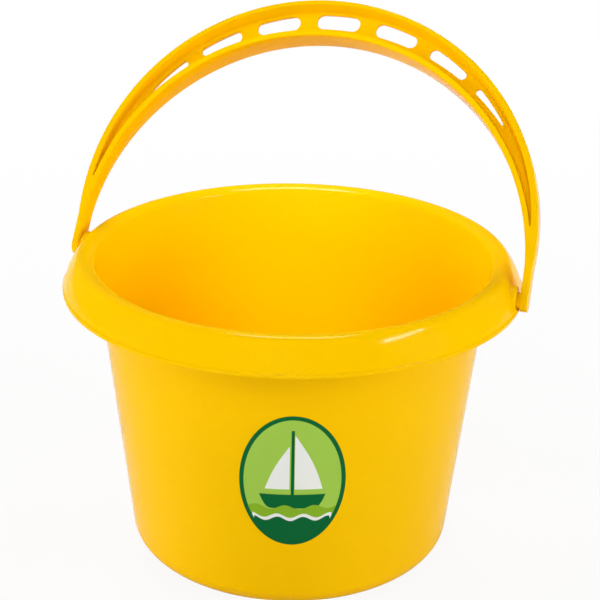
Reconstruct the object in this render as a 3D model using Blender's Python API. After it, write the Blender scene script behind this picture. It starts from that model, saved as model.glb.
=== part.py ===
"""Child's sand bucket with a slotted swing handle and an oval front sticker.

Metres, +Z up. The origin is the centre of the base, on the ground. X is the
handle's pivot axis and -Y is the front. The handle is drawn upright in its own
frame, with its origin on the pivot axis, and leans back by HANDLE_LEAN.
"""

from math import acos, atan2, cos, pi, radians, sin, sqrt, tau

import bmesh
import bpy
from mathutils import Matrix

# Bucket wall and base
WALL = 0.0018
BASE_RADIUS = 0.0671
NECK_RADIUS = 0.0790
BASE_ROUND = 0.0100
FOOT_HEIGHT = 0.0020
FOOT_WIDTH = 0.0045
FOOT_SLOPE = 0.0030

# Turned-over collar
CREST_RADIUS = 0.0865
CREST_HEIGHT = 0.1299
CREST_ROUND = 0.0034
BRIM_RADIUS = 0.0820
BRIM_ROUND = 0.0063
LIP_RADIUS = 0.0950
LIP_HEIGHT = 0.1160
LIP_BAND = 0.0018
LIP_STEP = 0.0004
COLLAR_BULGE = 0.0012
NECK_DROP = 0.0259

# Pivot ears
PIVOT_HEIGHT = 0.1206
EAR_RADIUS = 0.0060
EAR_SETBACK = 0.0010
EAR_DEPTH = 0.0072
EAR_EDGE = 0.0015
SPOTFACE_DEPTH = 0.0003

# Handle studs
STUD_RADIUS = 0.0026
STUD_CLEARANCE = 0.0003
HEAD_OVERLAP = 0.0005
HEAD_LENGTH = 0.0023
HUB_RADIUS = 0.0033
HUB_CLEARANCE = 0.0003

# Handle arch
LEG_CLEARANCE = 0.0004
LEG_WIDTH = 0.0032
LEG_THICKNESS = 0.0085
LEG_END_TURN = radians(76.0)
GRIP_RISE = 0.1012
GRIP_DEPTH = 0.0158
GRIP_THICKNESS = 0.0140
INNER_SPRING = 0.0060
OUTER_SPRING = 0.0205
EDGE_ROUND = 0.0008
HANDLE_LEAN = radians(33.6)

# Handle channel and its slots
OUTER_FLANGE = 0.0017
LEG_FLANGE = 0.0032
INNER_FLANGE = 0.0022
OUTER_DRAFT = 0.17
INNER_DRAFT = 0.07
WEB = 0.0012
CHANNEL_END = 0.0006
SLOT_COUNT = 7
SLOT_PITCH = radians(15.7)
SLOT_SPAN = radians(11.3)
SLOT_FADE = radians(56.0)
SLOT_WIDTH = 0.0064

# Front sticker
STICKER_WIDTH = 0.0420
STICKER_HEIGHT = 0.0600
STICKER_CENTRE = 0.0625
STICKER_TURN = radians(18.0)
STICKER_THICKNESS = 0.0003
STICKER_GAP = 0.0003

# Fineness of the facets
BODY_STEPS = 64
STUD_STEPS = 20
ARCH_STEPS = 50
CHANNEL_STEPS = 45
ROUND_STEPS = 4
SLOT_STEPS = 10
STICKER_ROWS = 18
STICKER_COLUMNS = 8
SMOOTH_ANGLE = radians(35)


def material(name, colour, roughness):
    """Make a plain plastic material."""
    made = bpy.data.materials.new(name)
    made.use_nodes = True
    shader = made.node_tree.nodes["Principled BSDF"]
    shader.inputs["Base Color"].default_value = (*colour, 1.0)
    shader.inputs["Roughness"].default_value = roughness
    shader.inputs["Metallic"].default_value = 0.0
    return made


def place(name, bm, paint=None):
    """Turn a bmesh into a named object with its faces pointing out."""
    bmesh.ops.remove_doubles(bm, verts=bm.verts, dist=1e-6)
    bmesh.ops.recalc_face_normals(bm, faces=bm.faces)
    mesh = bpy.data.meshes.new(name)
    bm.to_mesh(mesh)
    bm.free()
    mesh.shade_smooth()
    mesh.set_sharp_from_angle(angle=SMOOTH_ANGLE)
    made = bpy.data.objects.new(name, mesh)
    bpy.context.collection.objects.link(made)
    if paint:
        mesh.materials.append(paint)
    return made


def turned(bm, profile, steps, turn=Matrix()):
    """Spin (radius, height) points about Z, then turn the result."""
    verts = [bm.verts.new((radius, 0.0, height)) for radius, height in profile]
    edges = [bm.edges.new(pair) for pair in zip(verts, verts[1:])]
    before = set(bm.verts) - set(verts)
    bmesh.ops.spin(
        bm, geom=verts + edges, cent=(0, 0, 0), axis=(0, 0, 1), angle=tau, steps=steps
    )
    fresh = [vert for vert in bm.verts if vert not in before]
    bmesh.ops.transform(bm, matrix=turn, verts=fresh)


def loft(bm, rings):
    """Skin closed rings of points one after another and cap both ends."""
    rows = [[bm.verts.new(point) for point in ring] for ring in rings]
    count = len(rows[0])
    for near, far in zip(rows, rows[1:]):
        for i in range(count):
            j = (i + 1) % count
            bm.faces.new((near[i], near[j], far[j], far[i]))
    bm.faces.new(rows[0])
    bm.faces.new(rows[-1])


def combine(target, tool, operation):
    """Join a tool body to the target or cut it away."""
    tool.hide_render = True
    tool.display_type = "WIRE"
    step = target.modifiers.new(tool.name, "BOOLEAN")
    step.operation = operation
    step.solver = "EXACT"
    step.object = tool


def arc(centre, radius, start, end, steps):
    """List points on an arc in the profile plane."""
    turns = [start + (end - start) * i / steps for i in range(steps + 1)]
    return [(centre[0] + radius * cos(t), centre[1] + radius * sin(t)) for t in turns]


def bent(start, control, end, steps):
    """List points on a gentle curve drawn towards a control point."""
    shares = [i / steps for i in range(steps + 1)]
    return [
        tuple(
            (1 - t) ** 2 * a + 2 * t * (1 - t) * b + t * t * c
            for a, b, c in zip(start, control, end)
        )
        for t in shares
    ]


# Outside of the wall: a straight cone from the base to the neck, where it flares.
NECK_HEIGHT = CREST_HEIGHT - NECK_DROP
WALL_TILT = atan2(NECK_RADIUS - BASE_RADIUS, NECK_HEIGHT)


def wall_radius(height):
    """Give the outer radius of the wall's cone at a height."""
    return BASE_RADIUS + (NECK_RADIUS - BASE_RADIUS) * height / NECK_HEIGHT


def body_profile():
    """Trace the bucket's section from the axis inside, over the collar, to the axis."""
    round_top = wall_radius(BASE_ROUND) - BASE_ROUND
    base_centre = (round_top, BASE_ROUND)
    inner_round = BASE_ROUND - WALL
    foot_outer = round_top
    foot_inner = foot_outer - FOOT_WIDTH
    dish = foot_inner - FOOT_SLOPE
    shoulder_centre = (CREST_RADIUS, CREST_HEIGHT - CREST_ROUND)
    dome_centre = (CREST_RADIUS, CREST_HEIGHT - BRIM_ROUND)
    brim = pi - acos((CREST_RADIUS - BRIM_RADIUS) / BRIM_ROUND)
    shoulder = radians(40)
    dome_top = arc(dome_centre, BRIM_ROUND, brim, pi / 2, ROUND_STEPS)
    skirt_top = arc(shoulder_centre, CREST_ROUND, pi / 2, shoulder, ROUND_STEPS)
    skirt_foot = (LIP_RADIUS - LIP_STEP, LIP_HEIGHT + LIP_BAND)
    skirt_mid = (
        (skirt_top[-1][0] + skirt_foot[0]) / 2 + COLLAR_BULGE,
        (skirt_top[-1][1] + skirt_foot[1]) / 2 + COLLAR_BULGE / 2,
    )
    under_top = arc(shoulder_centre, CREST_ROUND - WALL, shoulder, pi / 2, ROUND_STEPS)
    under_dome = arc(dome_centre, BRIM_ROUND - WALL, pi / 2, brim, ROUND_STEPS)
    under_foot = (skirt_foot[0] - WALL, LIP_HEIGHT)
    under_mid = (skirt_mid[0] - WALL, skirt_mid[1] - WALL / 2)
    neck = (NECK_RADIUS, NECK_HEIGHT)
    throat = (NECK_RADIUS - WALL, NECK_HEIGHT)
    flare_height = (NECK_HEIGHT + dome_top[0][1]) / 2
    neck_bend = (wall_radius(flare_height), flare_height)
    throat_bend = (neck_bend[0] - WALL, flare_height)
    points = [(0.0, FOOT_HEIGHT + WALL), (dish, FOOT_HEIGHT + WALL)]
    points += arc(base_centre, inner_round, -pi / 2, -WALL_TILT, ROUND_STEPS)
    points += bent(throat, throat_bend, dome_top[0], ROUND_STEPS)
    points += dome_top[1:-1]
    points += skirt_top[:-1]
    points += bent(skirt_top[-1], skirt_mid, skirt_foot, ROUND_STEPS)
    points += [(LIP_RADIUS, skirt_foot[1] - LIP_STEP), (LIP_RADIUS, LIP_HEIGHT)]
    points += bent(under_foot, under_mid, under_top[0], ROUND_STEPS)
    points += under_top[1:-1]
    points += under_dome[:-1]
    points += bent(under_dome[-1], neck_bend, neck, ROUND_STEPS)
    points += arc(base_centre, BASE_ROUND, -WALL_TILT, -pi / 2, ROUND_STEPS)
    points += [(foot_inner, 0.0), (dish, FOOT_HEIGHT), (0.0, FOOT_HEIGHT)]
    return points


# Pivot stations along X, from the collar outwards.
EAR_FACE = LIP_RADIUS - EAR_SETBACK
EAR_SEAT = EAR_FACE - SPOTFACE_DEPTH
EAR_BACK = EAR_FACE - EAR_DEPTH
LEG_INNER = LIP_RADIUS + LEG_CLEARANCE
LEG_OUTER = LEG_INNER + LEG_WIDTH
HOLE_RADIUS = STUD_RADIUS + STUD_CLEARANCE


def sideways(side):
    """Turn a Z axis body to point along X, to the given side."""
    return Matrix.Rotation(side * pi / 2, 4, "Y")


def ear_ring(x, trim):
    """List an ear's round-topped outline at a station, trimmed back evenly."""
    half = EAR_RADIUS - trim
    foot = LIP_HEIGHT + LIP_STEP
    outline = arc((0.0, PIVOT_HEIGHT), half, 0.0, pi, 2 * ROUND_STEPS)
    outline += [(-half, foot), (half, foot)]
    return [(x, y, z) for y, z in outline]


def add_ear(body, side, label):
    """Join a round-topped ear to the collar and bore its stepped pivot hole."""
    rings = [ear_ring(side * EAR_BACK, 0.0)]
    for trim, proud in arc((EAR_EDGE, 0.0), EAR_EDGE, pi, pi / 2, ROUND_STEPS):
        rings.append(ear_ring(side * (EAR_FACE - EAR_EDGE + proud), trim))
    bm = bmesh.new()
    loft(bm, rings)
    combine(body, place("ear_block_" + label, bm), "UNION")
    bm = bmesh.new()
    spot = HUB_RADIUS + HUB_CLEARANCE
    clear_in = EAR_BACK - WALL
    clear_out = LEG_OUTER
    steps = [(0.0, clear_in), (HOLE_RADIUS, clear_in), (HOLE_RADIUS, EAR_SEAT)]
    steps += [(spot, EAR_SEAT), (spot, clear_out), (0.0, clear_out)]
    turned(bm, steps, STUD_STEPS, Matrix.Translation((0, 0, PIVOT_HEIGHT)) @ sideways(side))
    combine(body, place("pivot_bore_" + label, bm), "DIFFERENCE")


# The arch is measured along rays from a centre half way between both springings.
ARCH_CENTRE = (INNER_SPRING + OUTER_SPRING) / 2


def reach(angle, spring, half_span, rise):
    """Measure the ray from the arch centre to an elliptical edge."""
    drop = ARCH_CENTRE - spring
    a = (cos(angle) / half_span) ** 2 + (sin(angle) / rise) ** 2
    b = drop * sin(angle) / rise ** 2
    c = (drop / rise) ** 2 - 1.0
    return (sqrt(b * b - a * c) - b) / a


def inner_edge(angle):
    """Measure the ray to the underside of the arch."""
    return reach(angle, INNER_SPRING, LEG_INNER, GRIP_RISE - INNER_SPRING)


def outer_edge(angle):
    """Measure the ray to the top of the arch."""
    return reach(angle, OUTER_SPRING, LEG_OUTER, GRIP_RISE + GRIP_DEPTH - OUTER_SPRING)


def half_thickness(angle):
    """Give the arch's half thickness, thin at the legs and full at the grip."""
    rise = sin(angle)
    share = rise * rise * (3 - 2 * rise)
    return (LEG_THICKNESS + (GRIP_THICKNESS - LEG_THICKNESS) * share) / 2


def on_arch(angle, ray, across):
    """Place a point by its ray on the arch and its offset across it."""
    return (ray * cos(angle), across, ARCH_CENTRE + ray * sin(angle))


def rounded_box(low, high, half):
    """List a rounded section between two rays and across the thickness."""
    corners = (
        (high - EDGE_ROUND, half - EDGE_ROUND, 0.0),
        (low + EDGE_ROUND, half - EDGE_ROUND, pi / 2),
        (low + EDGE_ROUND, EDGE_ROUND - half, pi),
        (high - EDGE_ROUND, EDGE_ROUND - half, 3 * pi / 2),
    )
    section = []
    for ray, across, start in corners:
        for step in (0.0, pi / 4, pi / 2):
            turn = start + step
            section.append((ray + EDGE_ROUND * cos(turn), across + EDGE_ROUND * sin(turn)))
    return section


def leg_end(side):
    """List the half-round end of a leg, from its tip up to the pivot axis."""
    rings = []
    for i in range(ROUND_STEPS + 1):
        turn = LEG_END_TURN * (1 - i / ROUND_STEPS)
        section = rounded_box(LEG_INNER, LEG_OUTER, LEG_THICKNESS / 2 * cos(turn))
        height = -LEG_THICKNESS / 2 * sin(turn)
        rings.append([(side * x, y, height) for x, y in section])
    return rings


def arch_rings():
    """List the arch's sections from the right leg's tip to the left one's."""
    rings = leg_end(1)
    for i in range(ARCH_STEPS + 1):
        angle = pi * i / ARCH_STEPS
        section = rounded_box(inner_edge(angle), outer_edge(angle), half_thickness(angle))
        rings.append([on_arch(angle, ray, across) for ray, across in section])
    return rings + leg_end(-1)[::-1]


def channel(angle):
    """Give the rays to the channel's sides; the outer flange widens down the legs."""
    outer = LEG_FLANGE + (OUTER_FLANGE - LEG_FLANGE) * sin(angle)
    return inner_edge(angle) + INNER_FLANGE, outer_edge(angle) - outer


def channel_start():
    """Find the angle on the leg where the two flanges run together."""
    low, high = 0.0, pi / 2
    for _ in range(40):
        middle = (low + high) / 2
        lower, upper = channel(middle)
        if upper - lower < CHANNEL_END:
            low = middle
        else:
            high = middle
    return high


def channel_rings(face):
    """List the channel cutter's drafted sections on the front (-1) or back (1) face."""
    start = channel_start()
    rings = []
    for i in range(CHANNEL_STEPS + 1):
        angle = start + (pi - 2 * start) * i / CHANNEL_STEPS
        lower, upper = channel(angle)
        floor_low = lower + INNER_DRAFT * (upper - lower)
        floor_high = upper - OUTER_DRAFT * (upper - lower)
        bottom = face * WEB / 2
        top = face * (half_thickness(angle) + EDGE_ROUND)
        section = ((floor_low, bottom), (floor_high, bottom), (upper, top), (lower, top))
        rings.append([on_arch(angle, ray, across) for ray, across in section])
    return rings


def slot_outline(centre):
    """List a slot's rim along the channel's middle, narrower away from the grip's top."""
    lower_side = []
    upper_side = []
    for i in range(1, SLOT_STEPS):
        along = -cos(pi * i / SLOT_STEPS)
        angle = centre + along * SLOT_SPAN / 2
        middle = sum(channel(angle)) / 2
        half = SLOT_WIDTH / 2 * (1 - ((angle - pi / 2) / SLOT_FADE) ** 2)
        from_end = middle * SLOT_SPAN / 2 * (1 - abs(along))
        if from_end < half:
            half = sqrt(half * half - (half - from_end) ** 2)
        lower_side.append((angle, middle - half))
        upper_side.append((angle, middle + half))
    ends = []
    for along in (-1, 1):
        angle = centre + along * SLOT_SPAN / 2
        ends.append((angle, sum(channel(angle)) / 2))
    return [ends[0]] + lower_side + [ends[1]] + upper_side[::-1]


def stud_profile():
    """Trace a stud from its tip: barbed head, shank, and a hub sunk into the leg."""
    head = HOLE_RADIUS + HEAD_OVERLAP
    shoulder = EAR_BACK - HUB_CLEARANCE
    tip = shoulder - HEAD_LENGTH
    hub_start = EAR_SEAT + HUB_CLEARANCE
    hub_end = (LEG_INNER + LEG_OUTER) / 2
    return [
        (0.0, tip),
        (STUD_RADIUS, tip),
        (head, shoulder - HEAD_LENGTH / 3),
        (head, shoulder),
        (STUD_RADIUS, shoulder),
        (STUD_RADIUS, hub_start),
        (HUB_RADIUS, hub_start),
        (HUB_RADIUS, hub_end),
        (0.0, hub_end),
    ]


def build_body(paint):
    """Turn the bucket and fit its two ears."""
    bm = bmesh.new()
    turned(bm, body_profile(), BODY_STEPS)
    body = place("bucket_body", bm, paint)
    for side, label in ((1, "right"), (-1, "left")):
        add_ear(body, side, label)
    return body


def build_handle(paint):
    """Loft the arch, add its studs, sink its channels and cut its slots."""
    bm = bmesh.new()
    loft(bm, arch_rings())
    handle = place("bail_handle", bm, paint)
    tools = []
    for side, label in ((1, "right"), (-1, "left")):
        bm = bmesh.new()
        turned(bm, stud_profile(), STUD_STEPS, sideways(side))
        tools.append((place("stud_" + label, bm), "UNION"))
    for face, label in ((-1, "front"), (1, "back")):
        bm = bmesh.new()
        loft(bm, channel_rings(face))
        tools.append((place("channel_" + label, bm), "DIFFERENCE"))
    for number in range(SLOT_COUNT):
        centre = pi / 2 + (number - (SLOT_COUNT - 1) / 2) * SLOT_PITCH
        rim = slot_outline(centre)
        bm = bmesh.new()
        loft(bm, [[on_arch(angle, ray, y) for angle, ray in rim] for y in (-WEB, WEB)])
        tools.append((place("slot_%d" % number, bm), "DIFFERENCE"))
    for tool, operation in tools:
        tool.parent = handle
        combine(handle, tool, operation)
    handle.location = (0.0, 0.0, PIVOT_HEIGHT)
    handle.rotation_euler = (-HANDLE_LEAN, 0.0, 0.0)
    return handle


def round_wall(radius, around, height):
    """Place a point round the wall, measured from the sticker's middle."""
    angle = STICKER_TURN + around / radius
    return (radius * sin(angle), -radius * cos(angle), height)


def build_sticker(paint):
    """Wrap a thin oval sheet round the front of the wall."""
    rings = []
    for i in range(STICKER_ROWS):
        turn = pi * (i + 0.5) / STICKER_ROWS
        height = STICKER_CENTRE - STICKER_HEIGHT / 2 * cos(turn)
        half = STICKER_WIDTH / 2 * sin(turn)
        inside = wall_radius(height) + STICKER_GAP
        outside = inside + STICKER_THICKNESS
        columns = [half * (2 * j / STICKER_COLUMNS - 1) for j in range(STICKER_COLUMNS + 1)]
        ring = [round_wall(inside, around, height) for around in columns]
        ring += [round_wall(outside, around, height) for around in reversed(columns)]
        rings.append(ring)
    bm = bmesh.new()
    loft(bm, rings)
    return place("front_sticker", bm, paint)


for old in list(bpy.data.objects):
    bpy.data.objects.remove(old)
build_body(material("bucket_plastic", (0.95, 0.54, 0.0), 0.22))
build_handle(material("handle_plastic", (1.0, 0.56, 0.0), 0.25))
build_sticker(material("sticker_film", (0.25, 0.46, 0.03), 0.30))
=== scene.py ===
# %% [markdown]
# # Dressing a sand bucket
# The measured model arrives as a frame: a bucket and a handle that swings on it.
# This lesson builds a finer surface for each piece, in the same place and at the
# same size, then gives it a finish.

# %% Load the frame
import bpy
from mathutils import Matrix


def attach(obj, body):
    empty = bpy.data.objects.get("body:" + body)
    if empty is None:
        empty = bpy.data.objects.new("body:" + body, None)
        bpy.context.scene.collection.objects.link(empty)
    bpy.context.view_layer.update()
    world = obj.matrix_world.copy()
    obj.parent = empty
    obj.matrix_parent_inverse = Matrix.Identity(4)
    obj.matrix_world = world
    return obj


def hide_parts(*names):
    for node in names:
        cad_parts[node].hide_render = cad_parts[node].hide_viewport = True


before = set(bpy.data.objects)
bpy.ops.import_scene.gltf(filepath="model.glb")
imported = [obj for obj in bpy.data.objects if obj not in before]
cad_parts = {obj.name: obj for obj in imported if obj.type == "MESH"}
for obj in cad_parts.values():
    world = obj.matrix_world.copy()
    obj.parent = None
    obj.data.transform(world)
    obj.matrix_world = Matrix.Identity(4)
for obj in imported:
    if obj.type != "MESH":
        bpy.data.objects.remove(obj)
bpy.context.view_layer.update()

# %% Tools for the lesson
from math import acos, atan2, cos, degrees, pi, radians, sin, sqrt, tau

import bmesh
import bpy
from mathutils import Matrix, Vector

scene = bpy.context.scene
scene.view_settings.view_transform = "Standard"
print("colours shown as:", scene.view_settings.view_transform)

# %% [markdown]
# ## The camera
# The photograph was taken from a little above, a little to the right of the
# front, with a long lens. The camera could be placed by eye, but the rim is a true
# circle, and its ellipse gives the height, the distance and the lens. A slight
# roll remains, as in the photograph, and the aim sits a little off the axis.

# %% Place the camera
VIEW_AZIMUTH = radians(17.3)
VIEW_ELEVATION = radians(22.586)
VIEW_DISTANCE = 0.6965
AIM_HEIGHT = 0.1079
AIM_ASIDE = 0.0030
VIEW_ROLL = radians(0.938)
LENS_MM = 100.0
SENSOR_MM = 36.0
CLIP_NEAR = 0.01
CLIP_FAR = 50.0


def outward(turn, rise):
    """Give the direction at a turn to the right of the front and at a rise."""
    return Vector((sin(turn) * cos(rise), -cos(turn) * cos(rise), sin(rise)))


aim = Vector((0.0, 0.0, AIM_HEIGHT))
aside = Vector((cos(VIEW_AZIMUTH), sin(VIEW_AZIMUTH), 0.0))
stand = aim + outward(VIEW_AZIMUTH, VIEW_ELEVATION) * VIEW_DISTANCE
gaze = aim + aside * AIM_ASIDE - stand
facing = gaze.to_track_quat("-Z", "Y").to_matrix().to_4x4()
camera_data = bpy.data.cameras.new("photo_camera")
camera_data.lens = LENS_MM
camera_data.sensor_width = SENSOR_MM
camera_data.clip_start = CLIP_NEAR
camera_data.clip_end = CLIP_FAR
camera = bpy.data.objects.new("photo_camera", camera_data)
camera.matrix_world = Matrix.Translation(stand) @ facing @ Matrix.Rotation(VIEW_ROLL, 4, "Z")
scene.collection.objects.link(camera)
scene.camera = camera
print("camera stands at", [round(value, 3) for value in stand])

# %% [markdown]
# ## The floor
# The bucket stands on paper that is white to its edges. More light could burn the
# paper out to white, but it would burn out the bucket too. So the paper glows by
# itself, for the camera alone, and it glows a little less near the bucket, where a
# soft shadow has to stay.

# %% Make the white floor
FLOOR_HALF = 3.0
FLOOR_GAP = 0.0001
FLOOR_CORNERS = ((-1, -1), (1, -1), (1, 1), (-1, 1))
PAPER_GRAIN = 30.0
PAPER_TONE = (0.74, 0.76)
GLOW_SHARE = (0.9, 1.0)
GLOW_FROM = 0.2
GLOW_TO = 0.7


def noise(nodes, scale, detail=2.0):
    """Add a noise texture of a given scale."""
    texture = nodes.new("ShaderNodeTexNoise")
    texture.inputs["Scale"].default_value = scale
    texture.inputs["Detail"].default_value = detail
    return texture


def spread(nodes, low, high):
    """Add a node that spreads a value over a range."""
    node = nodes.new("ShaderNodeMapRange")
    node.inputs["To Min"].default_value = low
    node.inputs["To Max"].default_value = high
    return node


def white_paper(name):
    """Make pale paper that keeps a soft shadow near the bucket and runs out into white."""
    made = bpy.data.materials.new(name)
    made.use_nodes = True
    nodes = made.node_tree.nodes
    links = made.node_tree.links
    nodes.clear()
    grain = noise(nodes, PAPER_GRAIN)
    tint = spread(nodes, *PAPER_TONE)
    links.new(grain.outputs["Fac"], tint.inputs["Value"])
    paint = nodes.new("ShaderNodeBsdfDiffuse")
    links.new(tint.outputs["Result"], paint.inputs["Color"])
    where = nodes.new("ShaderNodeTexCoord")
    apart = nodes.new("ShaderNodeVectorMath")
    apart.operation = "LENGTH"
    links.new(where.outputs["Object"], apart.inputs[0])
    share = spread(nodes, *GLOW_SHARE)
    share.inputs["From Min"].default_value = GLOW_FROM
    share.inputs["From Max"].default_value = GLOW_TO
    links.new(apart.outputs["Value"], share.inputs["Value"])
    seen = nodes.new("ShaderNodeLightPath")
    amount = nodes.new("ShaderNodeMath")
    amount.operation = "MULTIPLY"
    links.new(seen.outputs["Is Camera Ray"], amount.inputs[0])
    links.new(share.outputs["Result"], amount.inputs[1])
    glow = nodes.new("ShaderNodeEmission")
    blend = nodes.new("ShaderNodeMixShader")
    links.new(amount.outputs["Value"], blend.inputs["Fac"])
    links.new(paint.outputs["BSDF"], blend.inputs[1])
    links.new(glow.outputs["Emission"], blend.inputs[2])
    out = nodes.new("ShaderNodeOutputMaterial")
    links.new(blend.outputs["Shader"], out.inputs["Surface"])
    return made


floor_points = [(x * FLOOR_HALF, y * FLOOR_HALF, -FLOOR_GAP) for x, y in FLOOR_CORNERS]
floor_mesh = bpy.data.meshes.new("floor")
floor_mesh.from_pydata(floor_points, [], [(0, 1, 2, 3)])
floor_mesh.materials.append(white_paper("floor_white"))
floor = bpy.data.objects.new("floor", floor_mesh)
scene.collection.objects.link(floor)
print("floor:", 2 * FLOOR_HALF, "m across")

# %% [markdown]
# ## The room and the lamps
# A glossy toy in a studio is lit from all round, so that no side goes dark. One big
# dome of light could do it, but it would also lie on the gloss as a pale veil. Wide
# lamps that the gloss does not mirror are used instead, and a narrow beam looks into
# the bucket, which would stay dim without it. Two more lamps are there only to be
# mirrored: one draws a short streak on the collar, the other a thin line along the
# crest. The light stays at a plain level, where a colour comes out about as it is
# written, and the room reads as white to the camera alone.

# %% Light the room
ROOM_LEVEL = 0.1

world = bpy.data.worlds.new("studio")
scene.world = world
world.use_nodes = True
room_nodes = world.node_tree.nodes
room_links = world.node_tree.links
room_nodes.clear()
room_path = room_nodes.new("ShaderNodeLightPath")
level = room_nodes.new("ShaderNodeMath")
level.operation = "MAXIMUM"
level.inputs[1].default_value = ROOM_LEVEL
room_light = room_nodes.new("ShaderNodeBackground")
room_light.inputs["Color"].default_value = (1.0, 1.0, 1.0, 1.0)
room_out = room_nodes.new("ShaderNodeOutputWorld")
room_links.new(room_path.outputs["Is Camera Ray"], level.inputs[0])
room_links.new(level.outputs["Value"], room_light.inputs["Strength"])
room_links.new(room_light.outputs["Background"], room_out.inputs["Surface"])
print("room level:", ROOM_LEVEL)

# %% Hang the wide lamps
LAMP_FAR = 1.6
LAMP_AIM = 0.1
FILL_SIZE = 0.8
# Each row has a name, a turn and a rise in degrees, and a power in watts.
FILLS = (
    ("fill_front_low", 12, 12, 4.0),
    ("fill_front_high", 5, 34, 5.5),
    ("fill_left", -64, 14, 14.5),
    ("fill_right", 82, 16, 12.5),
    ("fill_back_left", -145, 40, 14.0),
    ("fill_back_right", 145, 24, 8.0),
    ("fill_top", 0, 80, 0.8),
)


def hung(lamp, turn, rise, height=LAMP_AIM):
    """Hang a lamp at a turn and a rise, in degrees, facing a height on the axis."""
    held = bpy.data.objects.new(lamp.name, lamp)
    out = outward(radians(turn), radians(rise))
    station = Matrix.Translation(Vector((0.0, 0.0, height)) + out * LAMP_FAR)
    held.matrix_world = station @ (-out).to_track_quat("-Z", "Y").to_matrix().to_4x4()
    scene.collection.objects.link(held)
    return held


def panel(name, wide, high, power):
    """Make a flat lamp of a given width and height."""
    lamp = bpy.data.lights.new(name, "AREA")
    lamp.shape = "RECTANGLE"
    lamp.size = wide
    lamp.size_y = high
    lamp.energy = power
    return lamp


for name, turn, rise, power in FILLS:
    hung(panel(name, FILL_SIZE, FILL_SIZE, power), turn, rise).visible_glossy = False
print("wide lamps:", len(FILLS))

# %% Send a beam into the bucket
BEAM_TURN = 14
BEAM_RISE = 50
BEAM_AIM = 0.157
BEAM_POWER = 85.0
BEAM_CONE = radians(5.2)
BEAM_BLEND = 0.5
BEAM_SOURCE = 0.05

beam = bpy.data.lights.new("beam_inside", "SPOT")
beam.energy = BEAM_POWER
beam.spot_size = BEAM_CONE
beam.spot_blend = BEAM_BLEND
beam.shadow_soft_size = BEAM_SOURCE
hung(beam, BEAM_TURN, BEAM_RISE, BEAM_AIM).visible_glossy = False
print("beam inside:", BEAM_POWER, "W")

# %% Add the lamps that are mirrored
# Each row has a name, a turn and a rise in degrees, a width, a height and a power.
SPARKS = (
    ("spark_right", 80, 38, 0.6, 0.1, 14.5),
    ("spark_top", -163, 80, 0.7, 0.45, 38.0),
)
for name, turn, rise, wide, high, power in SPARKS:
    hung(panel(name, wide, high, power), turn, rise).visible_diffuse = False
print("mirrored lamps:", len(SPARKS))

# %% [markdown]
# ## The bucket
# The real bucket is one moulding: a cone with a rounded base and a collar that is
# turned over like a cuff. It could be modelled from a cylinder, but a section spun
# about the axis keeps every radius exact, so the section is drawn first: down the
# inside, over the crest, round the lip and back down the outside.

# %% Name the bucket's sizes
WALL = 0.0018
BASE_RADIUS = 0.0671
NECK_RADIUS = 0.0790
BASE_ROUND = 0.0100
FOOT_HEIGHT = 0.0020
FOOT_WIDTH = 0.0045
FOOT_SLOPE = 0.0030
CREST_RADIUS = 0.0865
CREST_HEIGHT = 0.1299
CREST_ROUND = 0.0034
CREST_TURN = radians(40)
BRIM_RADIUS = 0.0820
BRIM_ROUND = 0.0063
BRIM_SOFT = 0.0008
LIP_RADIUS = 0.0950
LIP_HEIGHT = 0.1160
LIP_BAND = 0.0018
LIP_STEP = 0.0004
COLLAR_BULGE = 0.0012
NECK_DROP = 0.0259
NECK_HEIGHT = CREST_HEIGHT - NECK_DROP
WALL_TILT = atan2(NECK_RADIUS - BASE_RADIUS, NECK_HEIGHT)


def wall_radius(height):
    """Give the outer radius of the wall's cone at a height."""
    return BASE_RADIUS + (NECK_RADIUS - BASE_RADIUS) * height / NECK_HEIGHT


print("wall leans out by", round(degrees(WALL_TILT), 2), "degrees")

# %% Draw the curves of a section
CURVE_STEPS = 12
SOFT_STEPS = 6


def between(start, end, steps):
    """List evenly spaced values from a start to an end."""
    return [start + (end - start) * i / steps for i in range(steps + 1)]


def arc(centre, radius, start, end, steps=CURVE_STEPS):
    """List points on an arc in the section."""
    turns = between(start, end, steps)
    return [(centre[0] + radius * cos(t), centre[1] + radius * sin(t)) for t in turns]


def bent(start, control, end, steps=CURVE_STEPS):
    """List points on a gentle curve drawn towards a control point."""
    points = []
    for t in between(0.0, 1.0, steps):
        near, mid, far = (1 - t) ** 2, 2 * t * (1 - t), t * t
        points.append(tuple(near * a + mid * b + far * c for a, b, c in zip(start, control, end)))
    return points


def softened(corner, before, after, reach_back):
    """Replace a corner by a short curve between its two neighbouring directions."""
    ends = []
    for other in (before, after):
        step = Vector(other) - Vector(corner)
        ends.append(tuple(Vector(corner) + step.normalized() * reach_back))
    return bent(ends[0], corner, ends[1], SOFT_STEPS)


print("points on the base's round:", len(arc((0.0, 0.0), BASE_ROUND, -pi / 2, -WALL_TILT)))

# %% Trace the bucket's section
FLARE_STEPS = 24
LIP_CURVE_STEPS = 4


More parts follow.
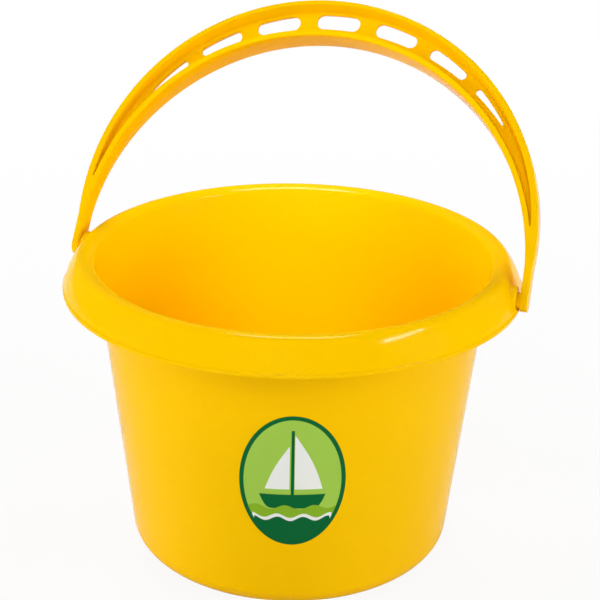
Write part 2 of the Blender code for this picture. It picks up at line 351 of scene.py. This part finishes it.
def bucket_section():
    """Trace the section from the axis inside, over the collar, to the axis below."""
    round_top = wall_radius(BASE_ROUND) - BASE_ROUND
    base_centre = (round_top, BASE_ROUND)
    foot_inner = round_top - FOOT_WIDTH
    dish = foot_inner - FOOT_SLOPE
    shoulder_centre = (CREST_RADIUS, CREST_HEIGHT - CREST_ROUND)
    dome_centre = (CREST_RADIUS, CREST_HEIGHT - BRIM_ROUND)
    brim = pi - acos((CREST_RADIUS - BRIM_RADIUS) / BRIM_ROUND)
    dome_top = arc(dome_centre, BRIM_ROUND, brim, pi / 2)
    skirt_top = arc(shoulder_centre, CREST_ROUND, pi / 2, CREST_TURN)
    skirt_foot = (LIP_RADIUS - LIP_STEP, LIP_HEIGHT + LIP_BAND)
    skirt_mid = (
        (skirt_top[-1][0] + skirt_foot[0]) / 2 + COLLAR_BULGE,
        (skirt_top[-1][1] + skirt_foot[1]) / 2 + COLLAR_BULGE / 2,
    )
    under_top = arc(shoulder_centre, CREST_ROUND - WALL, CREST_TURN, pi / 2)
    under_dome = arc(dome_centre, BRIM_ROUND - WALL, pi / 2, brim)
    under_foot = (skirt_foot[0] - WALL, LIP_HEIGHT)
    under_mid = (skirt_mid[0] - WALL, skirt_mid[1] - WALL / 2)
    flare_height = (NECK_HEIGHT + dome_top[0][1]) / 2
    neck_bend = (wall_radius(flare_height), flare_height)
    throat_bend = (neck_bend[0] - WALL, flare_height)
    inside = bent((NECK_RADIUS - WALL, NECK_HEIGHT), throat_bend, dome_top[0], FLARE_STEPS)
    lip_round = LIP_STEP / 2
    lip_top = (LIP_RADIUS - lip_round, skirt_foot[1] - LIP_STEP)
    lip_foot = (LIP_RADIUS - lip_round, LIP_HEIGHT + lip_round)
    points = [(0.0, FOOT_HEIGHT + WALL), (dish, FOOT_HEIGHT + WALL)]
    points += arc(base_centre, BASE_ROUND - WALL, -pi / 2, -WALL_TILT)
    points += inside[:-1]
    points += softened(dome_top[0], inside[-2], dome_top[2], BRIM_SOFT)
    points += dome_top[2:-1]
    points += skirt_top[:-1]
    points += bent(skirt_top[-1], skirt_mid, skirt_foot)
    points += arc(lip_top, lip_round, pi / 2, 0.0, LIP_CURVE_STEPS)
    points += arc(lip_foot, lip_round, 0.0, -pi / 2, LIP_CURVE_STEPS)
    points += bent(under_foot, under_mid, under_top[0])
    points += under_top[1:-1]
    points += under_dome[:-1]
    points += bent(under_dome[-1], neck_bend, (NECK_RADIUS, NECK_HEIGHT))
    points += arc(base_centre, BASE_ROUND, -WALL_TILT, -pi / 2)
    points += [(foot_inner, 0.0), (dish, FOOT_HEIGHT), (0.0, FOOT_HEIGHT)]
    return points


print("section points:", len(bucket_section()))

# %% Spin the bucket
BUCKET_STEPS = 256
SMOOTH_ANGLE = radians(32)
WELD = 1e-7


def shade(mesh):
    """Shade a mesh smooth and keep its true edges sharp."""
    mesh.shade_smooth()
    mesh.set_sharp_from_angle(angle=SMOOTH_ANGLE)


def place(name, bm):
    """Turn a bmesh into a smooth-shaded object."""
    bmesh.ops.remove_doubles(bm, verts=bm.verts, dist=WELD)
    bmesh.ops.recalc_face_normals(bm, faces=bm.faces)
    mesh = bpy.data.meshes.new(name)
    bm.to_mesh(mesh)
    bm.free()
    shade(mesh)
    made = bpy.data.objects.new(name, mesh)
    scene.collection.objects.link(made)
    return made


def turned(name, section, steps, turn=Matrix()):
    """Spin (radius, height) points about Z, then turn the result."""
    bm = bmesh.new()
    verts = [bm.verts.new((radius, 0.0, height)) for radius, height in section]
    edges = [bm.edges.new(pair) for pair in zip(verts, verts[1:])]
    bmesh.ops.spin(bm, geom=verts + edges, axis=(0, 0, 1), angle=tau, steps=steps)
    bmesh.ops.transform(bm, matrix=turn, verts=bm.verts)
    return place(name, bm)


bucket = turned("bucket_shell", bucket_section(), BUCKET_STEPS)
print("bucket faces:", len(bucket.data.polygons))

# %% [markdown]
# ## The ears
# A small round-topped boss on each side of the collar carries the handle. The stud
# goes through a stepped hole in it. A Boolean join and a Boolean cut are the plain
# way to make both, and the result is kept as a plain mesh so that its edges can be
# shaded.

# %% Shape the ears
SIDES = (1, -1)
PIVOT_HEIGHT = 0.1206
EAR_RADIUS = 0.0060
EAR_SETBACK = 0.0010
EAR_DEPTH = 0.0072
EAR_EDGE = 0.0015
EAR_FACE = LIP_RADIUS - EAR_SETBACK
EAR_BACK = EAR_FACE - EAR_DEPTH
EAR_STEPS = 3 * CURVE_STEPS


def lofted(name, rings):
    """Skin closed rings of points one after another and cap both ends."""
    bm = bmesh.new()
    rows = [[bm.verts.new(point) for point in ring] for ring in rings]
    count = len(rows[0])
    for near, far in zip(rows, rows[1:]):
        for i in range(count):
            j = (i + 1) % count
            bm.faces.new((near[i], near[j], far[j], far[i]))
    bm.faces.new(rows[0])
    bm.faces.new(rows[-1])
    return place(name, bm)


def ear_ring(x, trim):
    """List an ear's round-topped outline at a station, trimmed back evenly."""
    half = EAR_RADIUS - trim
    foot = LIP_HEIGHT + LIP_STEP
    outline = arc((0.0, PIVOT_HEIGHT), half, 0.0, pi, EAR_STEPS)
    outline += [(-half, foot), (half, foot)]
    return [(x, y, z) for y, z in outline]


def ear_block(side):
    """Make a round-topped boss with a rounded face edge."""
    rings = [ear_ring(side * EAR_BACK, 0.0)]
    for trim, proud in arc((EAR_EDGE, 0.0), EAR_EDGE, pi, pi / 2):
        rings.append(ear_ring(side * (EAR_FACE - EAR_EDGE + proud), trim))
    return lofted("ear_block", rings)


ears = [ear_block(side) for side in SIDES]
print("ears:", len(ears), "faces at", round(EAR_FACE, 4), "m from the axis")

# %% Shape the stepped holes
SEAT_DEPTH = 0.0003
STUD_RADIUS = 0.0026
STUD_CLEARANCE = 0.0003
HUB_RADIUS = 0.0033
HUB_CLEARANCE = 0.0003
LEG_CLEARANCE = 0.0004
LEG_WIDTH = 0.0032
LEG_INNER = LIP_RADIUS + LEG_CLEARANCE
LEG_OUTER = LEG_INNER + LEG_WIDTH
EAR_SEAT = EAR_FACE - SEAT_DEPTH
SEAT_RADIUS = HUB_RADIUS + HUB_CLEARANCE
HOLE_RADIUS = STUD_RADIUS + STUD_CLEARANCE
PIVOT_STEPS = 48


def sideways(side):
    """Turn a body that stands along Z to point along X, to the given side."""
    return Matrix.Rotation(side * pi / 2, 4, "Y")


def pivot_bore(side):
    """Make the stepped cutter for an ear's hole and its shallow seat."""
    start = EAR_BACK - WALL
    section = [(0.0, start), (HOLE_RADIUS, start), (HOLE_RADIUS, EAR_SEAT)]
    section += [(SEAT_RADIUS, EAR_SEAT), (SEAT_RADIUS, LEG_OUTER), (0.0, LEG_OUTER)]
    lift = Matrix.Translation((0, 0, PIVOT_HEIGHT))
    return turned("pivot_bore", section, PIVOT_STEPS, lift @ sideways(side))


bores = [pivot_bore(side) for side in SIDES]
print("holes:", len(bores), "radius", round(HOLE_RADIUS, 4), "m")

# %% Join the ears and bore them
def combine(target, tool, operation):
    """Join a tool body to the target or cut it away."""
    step = target.modifiers.new(tool.name, "BOOLEAN")
    step.operation = operation
    step.solver = "EXACT"
    step.object = tool


def settle(target, tools=()):
    """Keep the evaluated mesh as the object's own and drop the tools."""
    graph = bpy.context.evaluated_depsgraph_get()
    mesh = bpy.data.meshes.new_from_object(target.evaluated_get(graph))
    target.modifiers.clear()
    target.data = mesh
    shade(mesh)
    for tool in tools:
        bpy.data.objects.remove(tool)


for ear, bore in zip(ears, bores):
    combine(bucket, ear, "UNION")
    combine(bucket, bore, "DIFFERENCE")
settle(bucket, ears + bores)
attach(bucket, "bucket")
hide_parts("bucket_body")
print("bucket with ears:", len(bucket.data.polygons), "faces")

# %% [markdown]
# ## Yellow plastic
# Moulded polypropylene is glossy but never perfect: its gloss wanders a little, its
# colour drifts by a hair, and a fine grain from the mould breaks up the highlights.
# Flat colour would look like a drawing, so noise at three scales gives each of these,
# driven by the object's own coordinates, which give the grain a real size. The
# reflection is set well below that of real plastic, because the yellow in the
# photograph stays deep right to the edges.

# %% Mix the plastic
DRIFT_SCALE = 28.0
DRIFT_DETAIL = 3.0
SHEEN_SCALE = 160.0
SHEEN_DETAIL = 4.0
GLOSS_WANDER = 0.15
GRAIN_SCALE = 900.0
GRAIN_STRENGTH = 0.05
PLASTIC_IOR = 1.46
PLASTIC_REFLECTION = 0.05
MOULD_GRAIN = 0.0002
BUCKET_PALE = (0.96, 0.555, 0.0)
BUCKET_DEEP = (0.94, 0.535, 0.0)
BUCKET_GLOSS = 0.09


def plastic(name, pale, deep, gloss, grain_depth):
    """Make a glossy moulded plastic with slow colour drift and fine grain."""
    made = bpy.data.materials.new(name)
    made.use_nodes = True
    nodes = made.node_tree.nodes
    links = made.node_tree.links
    shader = nodes["Principled BSDF"]
    shader.inputs["IOR"].default_value = PLASTIC_IOR
    shader.inputs["Specular IOR Level"].default_value = PLASTIC_REFLECTION
    drift = noise(nodes, DRIFT_SCALE, DRIFT_DETAIL)
    sheen = noise(nodes, SHEEN_SCALE, SHEEN_DETAIL)
    grain = noise(nodes, GRAIN_SCALE)
    where = nodes.new("ShaderNodeTexCoord")
    for texture in (drift, sheen, grain):
        links.new(where.outputs["Object"], texture.inputs["Vector"])
    tone = nodes.new("ShaderNodeMix")
    tone.data_type = "RGBA"
    tone.inputs["A"].default_value = (*pale, 1.0)
    tone.inputs["B"].default_value = (*deep, 1.0)
    links.new(drift.outputs["Fac"], tone.inputs["Factor"])
    links.new(tone.outputs["Result"], shader.inputs["Base Color"])
    rough = spread(nodes, gloss * (1 - GLOSS_WANDER), gloss * (1 + GLOSS_WANDER))
    links.new(sheen.outputs["Fac"], rough.inputs["Value"])
    links.new(rough.outputs["Result"], shader.inputs["Roughness"])
    relief = nodes.new("ShaderNodeBump")
    relief.inputs["Strength"].default_value = GRAIN_STRENGTH
    relief.inputs["Distance"].default_value = grain_depth
    links.new(grain.outputs["Fac"], relief.inputs["Height"])
    links.new(relief.outputs["Normal"], shader.inputs["Normal"])
    return made


bucket_yellow = plastic("bucket_yellow", BUCKET_PALE, BUCKET_DEEP, BUCKET_GLOSS, MOULD_GRAIN)
bucket.data.materials.clear()
bucket.data.materials.append(bucket_yellow)
print("bucket finish:", bucket_yellow.name)

# %% [markdown]
# ## The handle
# The handle is a second moulding: a flat arch with a channel sunk into each face, so
# that two flanges carry the load and a thin web joins them. A bent tube would be
# quicker, but the arch's upper and lower edges are two different ellipses, which is
# why the band is wide at the grip and slim at the legs. Rays from one centre measure
# both edges, so one angle places everything: the band, the channel and the slots.

# %% Measure the arch
GRIP_RISE = 0.1012
GRIP_DEPTH = 0.0158
GRIP_THICKNESS = 0.0140
LEG_THICKNESS = 0.0085
INNER_SPRING = 0.0060
OUTER_SPRING = 0.0205
ARCH_CENTRE = (INNER_SPRING + OUTER_SPRING) / 2


def reach(angle, spring, half_span, rise):
    """Measure the ray from the arch centre to an elliptical edge."""
    drop = ARCH_CENTRE - spring
    a = (cos(angle) / half_span) ** 2 + (sin(angle) / rise) ** 2
    b = drop * sin(angle) / rise ** 2
    c = (drop / rise) ** 2 - 1.0
    return (sqrt(b * b - a * c) - b) / a


def inner_edge(angle):
    """Measure the ray to the underside of the arch."""
    return reach(angle, INNER_SPRING, LEG_INNER, GRIP_RISE - INNER_SPRING)


def outer_edge(angle):
    """Measure the ray to the top of the arch."""
    return reach(angle, OUTER_SPRING, LEG_OUTER, GRIP_RISE + GRIP_DEPTH - OUTER_SPRING)


def half_thickness(angle):
    """Give the arch's half thickness, thin at the legs and full at the grip."""
    rise = sin(angle)
    share = rise * rise * (3 - 2 * rise)
    return (LEG_THICKNESS + (GRIP_THICKNESS - LEG_THICKNESS) * share) / 2


print("grip:", round(outer_edge(pi / 2) - inner_edge(pi / 2), 4), "m deep")

# %% Loft the arch
LEG_END_TURN = radians(76.0)
EDGE_ROUND = 0.0008
EDGE_STEPS = 5
ARCH_STEPS = 150


def on_arch(angle, ray, across):
    """Place a point by its ray on the arch and its offset across it."""
    return (ray * cos(angle), across, ARCH_CENTRE + ray * sin(angle))


def rounded_box(low, high, half):
    """List a rounded section between two rays and across the thickness."""
    corners = (
        (high - EDGE_ROUND, half - EDGE_ROUND, 0.0),
        (low + EDGE_ROUND, half - EDGE_ROUND, pi / 2),
        (low + EDGE_ROUND, EDGE_ROUND - half, pi),
        (high - EDGE_ROUND, EDGE_ROUND - half, 3 * pi / 2),
    )
    section = []
    for ray, across, start in corners:
        section += arc((ray, across), EDGE_ROUND, start, start + pi / 2, EDGE_STEPS)
    return section


def leg_end(side):
    """List the half-round end of a leg, from its tip up to the pivot axis."""
    rings = []
    for turn in between(LEG_END_TURN, 0.0, CURVE_STEPS):
        section = rounded_box(LEG_INNER, LEG_OUTER, LEG_THICKNESS / 2 * cos(turn))
        height = -LEG_THICKNESS / 2 * sin(turn)
        rings.append([(side * x, y, height) for x, y in section])
    return rings


arch_rings = leg_end(1)
for angle in between(0.0, pi, ARCH_STEPS):
    section = rounded_box(inner_edge(angle), outer_edge(angle), half_thickness(angle))
    arch_rings.append([on_arch(angle, ray, across) for ray, across in section])
arch_rings += leg_end(-1)[::-1]
handle = lofted("handle_arch", arch_rings)
print("arch faces:", len(handle.data.polygons))

# %% [markdown]
# ## Studs, channels and slots
# Each leg has a half-round end with a barbed stud that snaps into its ear. The
# channel has sloping sides, so that the mould lets go, and runs until the two
# flanges meet on the leg. The seven slots lie along its middle and get narrower
# away from the top, so the last one on each side is a mere slit. All of it could be
# drawn into the arch's faces by hand, but one join and several cuts keep each shape
# a formula of its own.

# %% Turn the studs
HEAD_OVERLAP = 0.0005
HEAD_LENGTH = 0.0023
HEAD_BAND = HEAD_LENGTH / 3


def stud(side):
    """Turn a stud: barbed head, shank, and a hub sunk into the leg."""
    head = HOLE_RADIUS + HEAD_OVERLAP
    shoulder = EAR_BACK - HUB_CLEARANCE
    tip = shoulder - HEAD_LENGTH
    hub_start = EAR_SEAT + HUB_CLEARANCE
    hub_end = (LEG_INNER + LEG_OUTER) / 2
    section = [(0.0, tip), (STUD_RADIUS, tip), (head, shoulder - HEAD_BAND)]
    section += [(head, shoulder), (STUD_RADIUS, shoulder), (STUD_RADIUS, hub_start)]
    section += [(HUB_RADIUS, hub_start), (HUB_RADIUS, hub_end), (0.0, hub_end)]
    return turned("stud", section, PIVOT_STEPS, sideways(side))


handle_tools = [(stud(side), "UNION") for side in SIDES]
print("studs:", len(handle_tools))

# %% Shape the channels
OUTER_FLANGE = 0.0017
LEG_FLANGE = 0.0032
INNER_FLANGE = 0.0022
OUTER_DRAFT = 0.17
INNER_DRAFT = 0.07
WEB = 0.0012
CHANNEL_END = 0.0006
CHANNEL_SOFT = 0.0012
CHANNEL_SOFT_SHARE = 0.3
CHANNEL_STEPS = 141
HALVINGS = 40
FACES = (-1, 1)


def channel(angle):
    """Give the rays to the channel's sides; the outer flange widens down the legs."""
    outer = LEG_FLANGE + (OUTER_FLANGE - LEG_FLANGE) * sin(angle)
    return inner_edge(angle) + INNER_FLANGE, outer_edge(angle) - outer


def channel_start():
    """Find the angle on the leg where the two flanges run together."""
    low, high = 0.0, pi / 2
    for _ in range(HALVINGS):
        middle = (low + high) / 2
        lower, upper = channel(middle)
        low, high = (middle, high) if upper - lower < CHANNEL_END else (low, middle)
    return high


def channel_ring(angle, face):
    """List the channel's section: sloping sides that run softly into its floor."""
    lower, upper = channel(angle)
    width = upper - lower
    floor_low = (lower + INNER_DRAFT * width, face * WEB / 2)
    floor_high = (upper - OUTER_DRAFT * width, face * WEB / 2)
    top = face * (half_thickness(angle) + EDGE_ROUND)
    soft = min(CHANNEL_SOFT, CHANNEL_SOFT_SHARE * width)
    section = [(lower, top)]
    section += softened(floor_low, (lower, top), floor_high, soft)
    section += softened(floor_high, floor_low, (upper, top), soft)
    section += [(upper, top)]
    return [on_arch(angle, ray, across) for ray, across in section]


def channel_cutter(face):
    """Make the channel's cutter for the front (-1) or back (1) face."""
    angles = between(channel_start(), pi - channel_start(), CHANNEL_STEPS)
    return lofted("channel_cutter", [channel_ring(angle, face) for angle in angles])


handle_tools += [(channel_cutter(face), "DIFFERENCE") for face in FACES]
print("channels start at", round(degrees(channel_start()), 1), "degrees")

# %% Shape the slots
SLOT_COUNT = 7
SLOT_PITCH = radians(15.7)
SLOT_SPAN = radians(11.3)
SLOT_FADE = radians(56.0)
SLOT_WIDTH = 0.0064
SLOT_STEPS = 24


def slot_cutter(centre):
    """Make one slot's cutter: rounded ends, narrower away from the grip's top."""
    below, above = [], []
    for i in range(1, SLOT_STEPS):
        along = -cos(pi * i / SLOT_STEPS)
        angle = centre + along * SLOT_SPAN / 2
        middle = sum(channel(angle)) / 2
        half = SLOT_WIDTH / 2 * (1 - ((angle - pi / 2) / SLOT_FADE) ** 2)
        from_end = middle * SLOT_SPAN / 2 * (1 - abs(along))
        if from_end < half:
            half = sqrt(half * half - (half - from_end) ** 2)
        below.append((angle, middle - half))
        above.append((angle, middle + half))
    tips = [(a, sum(channel(a)) / 2) for a in (centre - SLOT_SPAN / 2, centre + SLOT_SPAN / 2)]
    rim = [tips[0]] + below + [tips[1]] + above[::-1]
    rings = [[on_arch(angle, ray, y) for angle, ray in rim] for y in (-WEB, WEB)]
    return lofted("slot_cutter", rings)


for number in range(SLOT_COUNT):
    centre = pi / 2 + (number - (SLOT_COUNT - 1) / 2) * SLOT_PITCH
    handle_tools.append((slot_cutter(centre), "DIFFERENCE"))
print("slots:", SLOT_COUNT)

# %% Cut the handle and soften its edges
HANDLE_BEVEL = 0.0004
BEVEL_SEGMENTS = 2
BEVEL_ANGLE = radians(50)
HANDLE_LEAN = radians(33.6)

for tool, operation in handle_tools:
    combine(handle, tool, operation)
settle(handle, [tool for tool, _ in handle_tools])
soften = handle.modifiers.new("soften", "BEVEL")
soften.width = HANDLE_BEVEL
soften.segments = BEVEL_SEGMENTS
soften.limit_method = "ANGLE"
soften.angle_limit = BEVEL_ANGLE
settle(handle)
lean = Matrix.Rotation(-HANDLE_LEAN, 4, "X")
handle.data.transform(Matrix.Translation((0, 0, PIVOT_HEIGHT)) @ lean)
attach(handle, "handle")
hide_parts("bail_handle")
print("handle faces:", len(handle.data.polygons))

# %% Finish the handle
HANDLE_PALE = (0.97, 0.57, 0.0)
HANDLE_DEEP = (0.95, 0.55, 0.0)
HANDLE_GLOSS = 0.12

handle_yellow = plastic("handle_yellow", HANDLE_PALE, HANDLE_DEEP, HANDLE_GLOSS, MOULD_GRAIN)
handle.data.materials.clear()
handle.data.materials.append(handle_yellow)
print("handle finish:", handle_yellow.name)

# %% [markdown]
# ## The sticker
# An oval printed film sits on the front of the wall. A picture laid on the wall could
# stand in for it, but a thin sheet has a real edge and needs no picture file. The film
# is wrapped round the cone, and each colour of the print is a thinner sheet on top of
# it. Wrapping is a formula: a distance round the wall and a height give a point. The
# inks follow the plastic's recipe, with less gloss and a finer grain.

# %% Wrap the film
STICKER_WIDTH = 0.0420
STICKER_HEIGHT = 0.0600
STICKER_CENTRE = 0.0625
STICKER_TURN = radians(18.0)
FILM_BACK = 0.00005
FILM_FRONT = 0.00020
OVAL_ROWS = 48
OVAL_COLUMNS = 16


def on_wall(around, up, lift):
    """Place a point on the wall, from the sticker's middle."""
    height = STICKER_CENTRE + up
    radius = wall_radius(height) + lift
    angle = STICKER_TURN + around / radius
    return (radius * sin(angle), -radius * cos(angle), height)


def wrapped(name, strips, back, front):
    """Close a sheet made of strips of points between two distances off the wall."""
    rings = []
    for strip in strips:
        ring = [on_wall(x, y, back) for x, y in strip]
        ring += [on_wall(x, y, front) for x, y in reversed(strip)]
        rings.append(ring)
    made = lofted(name, rings)
    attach(made, "bucket")
    return made


def level_strip(left, right, up, steps):
    """List evenly spaced points from left to right at one height."""
    return [(x, up) for x in between(left, right, steps)]


def oval_strips(width, height):
    """List an oval as level strips, bottom to top."""
    strips = []
    for i in range(OVAL_ROWS):
        turn = pi * (i + 0.5) / OVAL_ROWS
        half = width / 2 * sin(turn)
        strips.append(level_strip(-half, half, -height / 2 * cos(turn), OVAL_COLUMNS))
    return strips


film = wrapped("sticker_film", oval_strips(STICKER_WIDTH, STICKER_HEIGHT), FILM_BACK, FILM_FRONT)
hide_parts("front_sticker")
print("film faces:", len(film.data.polygons))

# %% Mix the inks
INK_SHADE = 0.9
INK_GLOSS = 0.3
INK_GRAIN = 0.00005


def ink(name, colour):
    """Make a satin printed ink with a faint screen grain."""
    deep = tuple(INK_SHADE * part for part in colour)
    return plastic(name, colour, deep, INK_GLOSS, INK_GRAIN)


DARK_GREEN = ink("ink_dark_green", (0.003, 0.13, 0.035))
LEAF_GREEN = ink("ink_leaf_green", (0.25, 0.46, 0.025))
PALE_GREEN = ink("ink_pale_green", (0.36, 0.60, 0.08))
WHITE = ink("ink_white", (0.86, 0.88, 0.84))
film.data.materials.append(DARK_GREEN)
print("inks:", [paint.name for paint in (DARK_GREEN, LEAF_GREEN, PALE_GREEN, WHITE)])

# %% [markdown]
# ## The print
# The picture is a plain sailing boat on waves: two sails, a mast, a hull and three
# bands of water on an oval field. The colours could be cut out of the film's own
# faces, but layers stay clean at their edges. Each shape is a list of strips, so it
# bends with the wall.

# %% Print the field
INK = 0.00003
FIELD_WIDTH = 0.0385
FIELD_HEIGHT = 0.0565


def printed(name, strips, layer, paint):
    """Lay one colour of the print on the film."""
    base = FILM_FRONT + (layer - 1) * INK
    made = wrapped(name, strips, base - INK / 2, base + INK)
    made.data.materials.append(paint)
    return made


field = printed("print_field", oval_strips(FIELD_WIDTH, FIELD_HEIGHT), 1, PALE_GREEN)
print("field faces:", len(field.data.polygons))

# %% Print the sails
SAIL_FOOT = -0.0035
SAIL_TIP = 0.985
SAIL_ROWS = 32
SAIL_COLUMNS = 8


def sail(mast_side, free_side, top, belly):
    """List a three-cornered sail as level strips with a curved free edge."""
    side = 1 if free_side > mast_side else -1
    strips = []
    for t in between(0.0, SAIL_TIP, SAIL_ROWS):
        edge = free_side + (mast_side - free_side) * t + side * belly * sin(pi * t)
        up = SAIL_FOOT + (top - SAIL_FOOT) * t
        strips.append(level_strip(mast_side, edge, up, SAIL_COLUMNS))
    return strips


main_sail = sail(mast_side=0.0008, free_side=0.0118, top=0.0215, belly=0.0014)
fore_sail = sail(mast_side=-0.0012, free_side=-0.0108, top=0.0165, belly=0.0010)
printed("print_sail_main", main_sail, 2, WHITE)
printed("print_sail_fore", fore_sail, 2, WHITE)
print("strips in a sail:", len(main_sail))

# %% Print the mast and the hull
MAST_HALF = 0.0006
MAST_FOOT = -0.0070
MAST_TOP = 0.0235
MAST_ROWS = 24
MAST_COLUMNS = 2
KEEL = -0.0125
KEEL_HALF = 0.0085
HULL_HEIGHT = 0.0065
HULL_FLARE = 0.0045
HULL_ROWS = 16
HULL_COLUMNS = 12


def hull():
    """List the hull as level strips, narrow at the keel."""
    strips = []
    for t in between(0.0, 1.0, HULL_ROWS):
        half = KEEL_HALF + HULL_FLARE * sqrt(t)
        strips.append(level_strip(-half, half, KEEL + HULL_HEIGHT * t, HULL_COLUMNS))
    return strips


heights = between(MAST_FOOT, MAST_TOP, MAST_ROWS)
mast = [level_strip(-MAST_HALF, MAST_HALF, up, MAST_COLUMNS) for up in heights]
printed("print_mast", mast, 3, DARK_GREEN)
printed("print_hull", hull(), 2, DARK_GREEN)
print("strips in the hull:", len(hull()))

# %% Print the water
WAVE_DIP = 0.0010
WAVE_COUNT = 3
WAVE_SHIFT = 2.0
WAVE_STEPS = 80
WATER_ROWS = 8
WATER_REACH = 0.985
WATER_LEAST = 0.0001
FAR_WATER = -0.0120
MID_WATER = -0.0160
NEAR_WATER = -0.0175


def field_half(up):
    """Give the half width of the oval field at a height."""
    return FIELD_WIDTH / 2 * sqrt(max(0.0, 1 - (2 * up / FIELD_HEIGHT) ** 2))


def water(top, shift):
    """List the water below a wavy line as upright strips from left to right."""
    half = field_half(top) * WATER_REACH
    turns = between(shift, shift + WAVE_COUNT * tau, WAVE_STEPS)
    strips = []
    for x, turn in zip(between(-half, half, WAVE_STEPS), turns):
        low = -FIELD_HEIGHT / 2 * sqrt(1 - (2 * x / FIELD_WIDTH) ** 2)
        crest = max(top + WAVE_DIP * sin(turn), low + WATER_LEAST)
        strips.append([(x, up) for up in between(low, crest, WATER_ROWS)])
    return strips


printed("print_water_far", water(FAR_WATER, 0.0), 3, LEAF_GREEN)
printed("print_water_mid", water(MID_WATER, WAVE_SHIFT), 4, WHITE)
printed("print_water_near", water(NEAR_WATER, WAVE_SHIFT), 5, DARK_GREEN)
